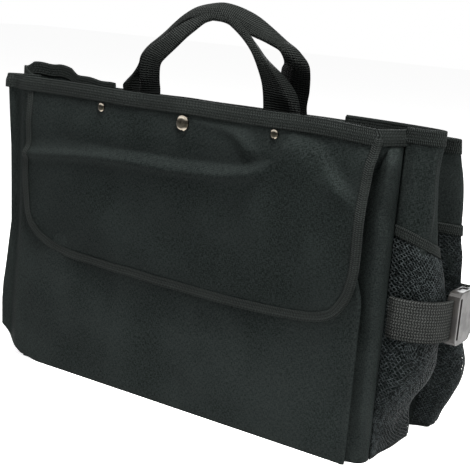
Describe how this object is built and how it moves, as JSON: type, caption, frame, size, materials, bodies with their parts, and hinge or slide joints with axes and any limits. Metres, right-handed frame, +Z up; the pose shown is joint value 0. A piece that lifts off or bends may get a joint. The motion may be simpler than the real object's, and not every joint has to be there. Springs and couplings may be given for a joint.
{
  "type": "trunk organizer",
  "caption": "Soft fabric trunk organizer strapped half closed, with a flapped front pocket, folded-in sides, mesh side pockets, side-release buckle straps and carrying handles",
  "frame": {"origin": "middle of the footprint, on the floor", "axes": "+X to the right of the flap, +Y from the flap to the leaning rear wall, +Z up"},
  "size_m": [0.5444, 0.1824, 0.4076],
  "materials": {
    "cloth": "matte woven polyester",
    "lining": "plain matte cloth",
    "binding": "ribbed tape, zigzag stitched",
    "net": "open knitted mesh",
    "webbing": "woven webbing with a herringbone face",
    "strap": "woven webbing with a herringbone face",
    "board": "plain board",
    "plastic": "satin moulded",
    "closure": "hook and loop",
    "metal": "satin nickel"
  },
  "bodies": {
    "front": {"front_panel": "cloth", "front_board": "board", "front_lining": "lining", "front_wall_tape": "binding", "front_rim_tape": "binding", "front_pocket": "cloth", "pocket_mouth_binding": "binding", "pocket_hook_strip": "closure", "flap_top_strip": "cloth", "rivet_left": "metal", "rivet_right": "metal", "snap_cap": "metal", "snap_socket": "metal", "snap_stud": "metal", "snap_post": "metal", "front_handle_anchor_left": "webbing", "front_handle_anchor_right": "webbing", "side_front_left": "cloth", "side_front_right": "cloth", "side_front_tape_left": "binding", "side_front_tape_right": "binding", "net_front_left": "net", "net_front_right": "net", "net_front_tape_left": "binding", "net_front_tape_right": "binding", "strap_front_left": "strap", "strap_front_right": "strap", "buckle_body_left": "plastic", "buckle_body_right": "plastic"},
    "flap": {"flap": "cloth", "flap_binding": "binding", "flap_loop_strip": "closure"},
    "front_handle": {"front_handle": "webbing"},
    "rear_base": {"rear_base_batten": "cloth"},
    "rear_wall": {"rear_lining": "lining", "rear_board": "board", "rear_panel": "cloth", "rear_rim_tape": "binding", "rear_handle_anchor_left": "webbing", "rear_handle_anchor_right": "webbing", "side_rear_left": "cloth", "side_rear_right": "cloth", "side_rear_tape_left": "binding", "side_rear_tape_right": "binding", "net_rear_left": "net", "net_rear_right": "net", "net_rear_tape_left": "binding", "net_rear_tape_right": "binding", "strap_rear_left": "strap", "strap_rear_right": "strap", "buckle_tail_left": "plastic", "buckle_tail_right": "plastic"},
    "rear_handle": {"rear_handle": "webbing"},
    "base_front": {"base_board_front": "lining"},
    "base_rear": {"base_board_rear": "lining"},
    "prong_upper_left": {"buckle_prong_upper_left": "plastic"},
    "prong_lower_left": {"buckle_prong_lower_left": "plastic"},
    "prong_upper_right": {"buckle_prong_upper_right": "plastic"},
    "prong_lower_right": {"buckle_prong_lower_right": "plastic"}
  },
  "joints": [
    {"name": "flap_hinge", "type": "hinge", "parent": "front", "child": "flap", "pos_m": [0, -0.0878, 0.276], "axis": [-1, 0, 0], "range_deg": [0, 130]},
    {"name": "front_handle_swing", "type": "hinge", "parent": "front", "child": "front_handle", "pos_m": [0, -0.047, 0.303], "axis": [1, 0, 0], "range_deg": [0, 68]},
    {"name": "rear_unfold", "type": "slide", "parent": "front", "child": "rear_base", "axis": [0, 1, 0], "range_m": [0, 0.118], "deforming": ["buckle_prong_upper_left", "buckle_prong_lower_left", "buckle_prong_upper_right", "buckle_prong_lower_right"]},
    {"name": "rear_wall_lean", "type": "hinge", "parent": "rear_base", "child": "rear_wall", "pos_m": [0, 0.0832, 0.0063], "axis": [-1, 0, 0], "range_deg": [0, 17]},
    {"name": "rear_handle_swing", "type": "hinge", "parent": "rear_wall", "child": "rear_handle", "pos_m": [0, -0.01071, 0.30217], "axis": [-1, 0, 0], "range_deg": [0, 68]},
    {"name": "base_front_fold", "type": "hinge", "parent": "front", "child": "base_front", "pos_m": [0, -0.0482, 0.0045], "axis": [-1, 0, 0], "range_deg": [0, 32.89]},
    {"name": "base_rear_fold", "type": "hinge", "parent": "rear_base", "child": "base_rear", "pos_m": [0, 0.0734, 0.0045], "axis": [1, 0, 0], "range_deg": [0, 32.89]},
    {"name": "prong_upper_left", "type": "hinge", "parent": "rear_wall", "child": "prong_upper_left", "pos_m": [-0.2665, 0.0142, 0.1571], "axis": [1, 0, 0], "range_deg": [0, 9], "stiffness_Nm_per_rad": 0.05},
    {"name": "prong_lower_left", "type": "hinge", "parent": "rear_wall", "child": "prong_lower_left", "pos_m": [-0.2665, 0.0142, 0.1229], "axis": [-1, 0, 0], "range_deg": [0, 9]},
    {"name": "prong_upper_right", "type": "hinge", "parent": "rear_wall", "child": "prong_upper_right", "pos_m": [0.2665, 0.0142, 0.1571], "axis": [1, 0, 0], "range_deg": [0, 9], "stiffness_Nm_per_rad": 0.05},
    {"name": "prong_lower_right", "type": "hinge", "parent": "rear_wall", "child": "prong_lower_right", "pos_m": [0.2665, 0.0142, 0.1229], "axis": [-1, 0, 0], "range_deg": [0, 9]}
  ],
  "couplings": [
    {"joint": "rear_wall_lean", "follows": "rear_unfold", "rad_per_m": 2.5145},
    {"joint": "base_front_fold", "follows": "rear_unfold", "rad_per_m": 4.864},
    {"joint": "base_rear_fold", "follows": "rear_unfold", "rad_per_m": 4.864},
    {"joint": "prong_lower_left", "follows": "prong_upper_left", "ratio": 1},
    {"joint": "prong_lower_right", "follows": "prong_upper_right", "ratio": 1}
  ]
}
